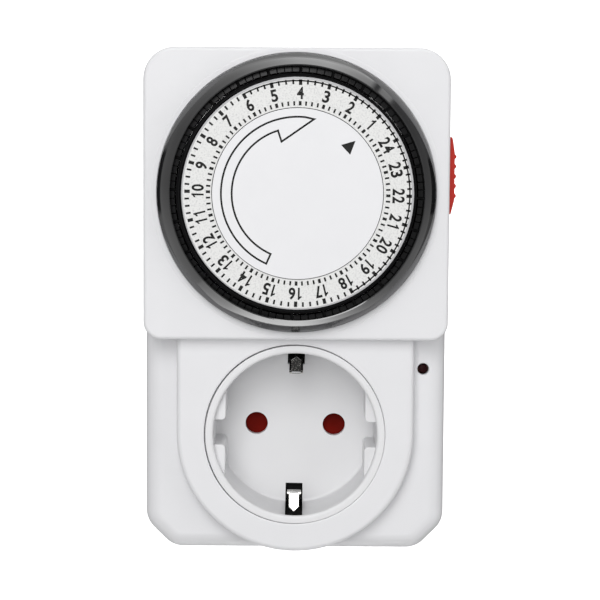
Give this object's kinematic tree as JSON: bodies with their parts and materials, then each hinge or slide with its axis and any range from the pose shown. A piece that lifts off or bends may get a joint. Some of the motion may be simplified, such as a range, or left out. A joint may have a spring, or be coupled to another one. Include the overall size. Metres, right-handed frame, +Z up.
{
  "type": "programmable segment timer",
  "caption": "Plug-in mechanical timer: earthed plug behind, earthed socket in front, 24-hour dial with pushable quarter-hour segments, manual override slide.",
  "frame": {"origin": "middle of the plug's nose face, between the two pins", "axes": "+Y out of the plug's nose, along the pins, into the wall socket; +Z up, from the socket towards the dial; the dial and socket face -Y"},
  "size_m": [0.0747, 0.0794, 0.1208],
  "materials": {
    "white_shell": "smooth moulded",
    "white_insert": "smooth moulded",
    "black_gloss": "polished",
    "black_matt": "moulded",
    "tappet_grey": "moulded",
    "scale_white": "fine grain, printed",
    "disc_white": "printed",
    "knob_red": "moulded",
    "shutter_red": "moulded",
    "gear_plastic": "natural acetal",
    "switch_plastic": "moulded",
    "nickel": "nickel plated brass",
    "steel": "plated",
    "brass": "stamped",
    "winding": "enamelled copper wire",
    "magnet": "bonded ferrite",
    "lens": "translucent amber",
    "lamp": "clear"
  },
  "bodies": {
    "case": {"front_cover": "white_shell", "rear_cover": "white_shell", "socket_insert": "white_insert", "line_contact": "brass", "neutral_contact": "brass", "line_pin": "nickel", "neutral_pin": "nickel", "earth_strap": "nickel", "centre_post": "steel", "centre_disc": "disc_white", "chassis_plate": "steel", "first_gear_arbor": "steel", "second_gear_arbor": "steel", "motor_stator": "steel", "motor_coil": "winding", "switch_body": "switch_plastic", "fixed_contact": "brass", "indicator_lens": "lens", "indicator_lamp": "lamp", "case_screw_upper_left": "steel", "case_screw_upper_right": "steel", "case_screw_lower_left": "steel", "case_screw_lower_right": "steel"},
    "dial": {"dial_wheel": "black_matt", "grip_ring": "black_gloss", "scale_ring": "scale_white"},
    "drive": {"drive_pinion": "brass"},
    "clutch": {"clutch_gear": "gear_plastic"},
    "second_wheel": {"second_gear": "gear_plastic"},
    "first_wheel": {"first_gear": "gear_plastic"},
    "rotor": {"motor_rotor": "magnet"},
    "override": {"override_slider": "knob_red"},
    "lever": {"follower_lever": "tappet_grey"},
    "leaf": {"contact_leaf": "brass"},
    "shutter": {"child_shutter": "shutter_red"},
    "tappets_00": {"tappets_00_to_01_h": "tappet_grey"},
    "tappets_01": {"tappets_01_to_02_h": "tappet_grey"},
    "tappets_02": {"tappets_02_to_03_h": "tappet_grey"},
    "tappets_03": {"tappets_03_to_04_h": "tappet_grey"},
    "tappets_04": {"tappets_04_to_05_h": "tappet_grey"},
    "tappets_05": {"tappets_05_to_06_h": "tappet_grey"},
    "tappets_06": {"tappets_06_to_07_h": "tappet_grey"},
    "tappets_07": {"tappets_07_to_08_h": "tappet_grey"},
    "tappets_08": {"tappets_08_to_09_h": "tappet_grey"},
    "tappets_09": {"tappets_09_to_10_h": "tappet_grey"},
    "tappets_10": {"tappets_10_to_11_h": "tappet_grey"},
    "tappets_11": {"tappets_11_to_12_h": "tappet_grey"},
    "tappets_12": {"tappets_12_to_13_h": "tappet_grey"},
    "tappets_13": {"tappets_13_to_14_h": "tappet_grey"},
    "tappets_14": {"tappets_14_to_15_h": "tappet_grey"},
    "tappets_15": {"tappets_15_to_16_h": "tappet_grey"},
    "tappets_16": {"tappets_16_to_17_h": "tappet_grey"},
    "tappets_17": {"tappets_17_to_18_h": "tappet_grey"},
    "tappets_18": {"tappets_18_to_19_h": "tappet_grey"},
    "tappets_19": {"tappets_19_to_20_h": "tappet_grey"},
    "tappets_20": {"tappets_20_to_21_h": "tappet_grey"},
    "tappets_21": {"tappets_21_to_22_h": "tappet_grey"},
    "tappets_22": {"tappets_22_to_23_h": "tappet_grey"},
    "tappets_23": {"tappets_23_to_24_h": "tappet_grey"}
  },
  "joints": [
    {"name": "dial_spin", "type": "hinge", "parent": "case", "child": "dial", "pos_m": [0, -0.055, 0.05806], "axis": [0, 1, 0], "continuous": true},
    {"name": "drive_spin", "type": "hinge", "parent": "case", "child": "drive", "pos_m": [-0.01456, -0.046, 0.04748], "axis": [0, 1, 0], "continuous": true},
    {"name": "rotor_spin", "type": "hinge", "parent": "case", "child": "rotor", "pos_m": [0.0024, -0.027, 0.06176], "axis": [0, 1, 0], "continuous": true},
    {"name": "first_wheel_spin", "type": "hinge", "parent": "case", "child": "first_wheel", "pos_m": [-0.00778, -0.04, 0.07194], "axis": [0, 1, 0], "continuous": true},
    {"name": "second_wheel_spin", "type": "hinge", "parent": "case", "child": "second_wheel", "pos_m": [-0.01498, -0.04, 0.05947], "axis": [0, 1, 0], "continuous": true},
    {"name": "clutch_spin", "type": "hinge", "parent": "case", "child": "clutch", "pos_m": [-0.01456, -0.0424, 0.04748], "axis": [0, 1, 0], "continuous": true},
    {"name": "override_slide", "type": "slide", "parent": "case", "child": "override", "axis": [0, 0, 1], "range_m": [-0.004, 0]},
    {"name": "lever_rock", "type": "hinge", "parent": "case", "child": "lever", "pos_m": [0.0291, -0.042, 0.041], "axis": [-1, 0, 0], "range_deg": [-6, 0]},
    {"name": "leaf_flex", "type": "hinge", "parent": "case", "child": "leaf", "pos_m": [0.0265, -0.038, 0.028], "axis": [1, 0, 0], "range_deg": [-5.2, 0.02]},
    {"name": "shutter_turn", "type": "hinge", "parent": "case", "child": "shutter", "pos_m": [0, -0.0311, 0], "axis": [0, 1, 0], "range_deg": [0, 42], "stiffness_Nm_per_rad": 0.0004},
    {"name": "tappets_00_push", "type": "slide", "parent": "dial", "child": "tappets_00", "axis": [0, 1, 0], "range_m": [0, 0.0023]},
    {"name": "tappets_01_push", "type": "slide", "parent": "dial", "child": "tappets_01", "axis": [0, 1, 0], "range_m": [0, 0.0023]},
    {"name": "tappets_02_push", "type": "slide", "parent": "dial", "child": "tappets_02", "axis": [0, 1, 0], "range_m": [0, 0.0023]},
    {"name": "tappets_03_push", "type": "slide", "parent": "dial", "child": "tappets_03", "axis": [0, 1, 0], "range_m": [0, 0.0023]},
    {"name": "tappets_04_push", "type": "slide", "parent": "dial", "child": "tappets_04", "axis": [0, 1, 0], "range_m": [0, 0.0023]},
    {"name": "tappets_05_push", "type": "slide", "parent": "dial", "child": "tappets_05", "axis": [0, 1, 0], "range_m": [0, 0.0023]},
    {"name": "tappets_06_push", "type": "slide", "parent": "dial", "child": "tappets_06", "axis": [0, 1, 0], "range_m": [0, 0.0023]},
    {"name": "tappets_07_push", "type": "slide", "parent": "dial", "child": "tappets_07", "axis": [0, 1, 0], "range_m": [0, 0.0023]},
    {"name": "tappets_08_push", "type": "slide", "parent": "dial", "child": "tappets_08", "axis": [0, 1, 0], "range_m": [0, 0.0023]},
    {"name": "tappets_09_push", "type": "slide", "parent": "dial", "child": "tappets_09", "axis": [0, 1, 0], "range_m": [0, 0.0023]},
    {"name": "tappets_10_push", "type": "slide", "parent": "dial", "child": "tappets_10", "axis": [0, 1, 0], "range_m": [0, 0.0023]},
    {"name": "tappets_11_push", "type": "slide", "parent": "dial", "child": "tappets_11", "axis": [0, 1, 0], "range_m": [0, 0.0023]},
    {"name": "tappets_12_push", "type": "slide", "parent": "dial", "child": "tappets_12", "axis": [0, 1, 0], "range_m": [0, 0.0023]},
    {"name": "tappets_13_push", "type": "slide", "parent": "dial", "child": "tappets_13", "axis": [0, 1, 0], "range_m": [0, 0.0023]},
    {"name": "tappets_14_push", "type": "slide", "parent": "dial", "child": "tappets_14", "axis": [0, 1, 0], "range_m": [0, 0.0023]},
    {"name": "tappets_15_push", "type": "slide", "parent": "dial", "child": "tappets_15", "axis": [0, 1, 0], "range_m": [0, 0.0023]},
    {"name": "tappets_16_push", "type": "slide", "parent": "dial", "child": "tappets_16", "axis": [0, 1, 0], "range_m": [0, 0.0023]},
    {"name": "tappets_17_push", "type": "slide", "parent": "dial", "child": "tappets_17", "axis": [0, 1, 0], "range_m": [0, 0.0023]},
    {"name": "tappets_18_push", "type": "slide", "parent": "dial", "child": "tappets_18", "axis": [0, 1, 0], "range_m": [0, 0.0023]},
    {"name": "tappets_19_push", "type": "slide", "parent": "dial", "child": "tappets_19", "axis": [0, 1, 0], "range_m": [0, 0.0023]},
    {"name": "tappets_20_push", "type": "slide", "parent": "dial", "child": "tappets_20", "axis": [0, 1, 0], "range_m": [0, 0.0023]},
    {"name": "tappets_21_push", "type": "slide", "parent": "dial", "child": "tappets_21", "axis": [0, 1, 0], "range_m": [0, 0.0023]},
    {"name": "tappets_22_push", "type": "slide", "parent": "dial", "child": "tappets_22", "axis": [0, 1, 0], "range_m": [0, 0.0023]},
    {"name": "tappets_23_push", "type": "slide", "parent": "dial", "child": "tappets_23", "axis": [0, 1, 0], "range_m": [0, 0.0023]}
  ],
  "couplings": [
    {"joint": "drive_spin", "follows": "dial_spin", "ratio": 6},
    {"joint": "first_wheel_spin", "follows": "rotor_spin", "ratio": -0.2},
    {"joint": "second_wheel_spin", "follows": "rotor_spin", "ratio": 0.04},
    {"joint": "clutch_spin", "follows": "rotor_spin", "ratio": -0.01},
    {"joint": "leaf_flex", "follows": "lever_rock", "ratio": 0.857}
  ]
}
